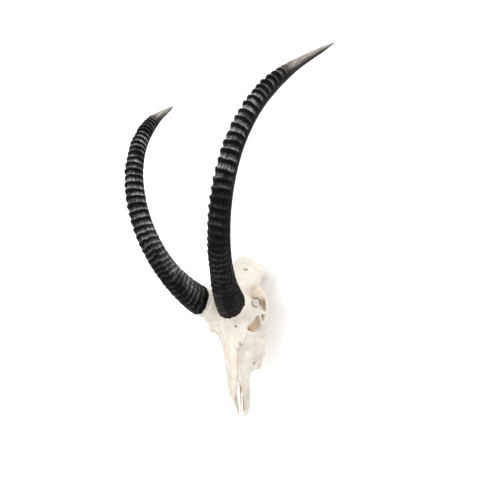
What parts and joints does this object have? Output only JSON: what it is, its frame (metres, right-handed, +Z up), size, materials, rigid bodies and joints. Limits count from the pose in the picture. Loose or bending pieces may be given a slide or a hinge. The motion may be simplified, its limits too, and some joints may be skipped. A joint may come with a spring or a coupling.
{
  "type": "sable antelope skull",
  "caption": "Cleaned antelope skull with long ringed horns that sweep up, back and down, without its lower jaw, resting on its hind end and on the tips of its horns.",
  "frame": {"origin": "middle of the underside of the box round the resting skull, on the surface it rests on", "axes": "+Z up, the nose towards -Y, the horn tips towards +Y, the animal's left side at +X"},
  "size_m": [0.5966, 0.984, 0.3533],
  "materials": {
    "bone": "dry cleaned bone, matte",
    "horn": "dry keratin, satin on the worn ring crests",
    "enamel": "tooth enamel, slightly glossy"
  },
  "bodies": {
    "root": {"cranium": "bone", "left_horn": "horn", "right_horn": "horn", "left_premolar_2": "enamel", "left_premolar_3": "enamel", "left_premolar_4": "enamel", "left_molar_1": "enamel", "left_molar_2": "enamel", "left_molar_3": "enamel", "right_premolar_2": "enamel", "right_premolar_3": "enamel", "right_premolar_4": "enamel", "right_molar_1": "enamel", "right_molar_2": "enamel", "right_molar_3": "enamel"}
  },
  "joints": []
}
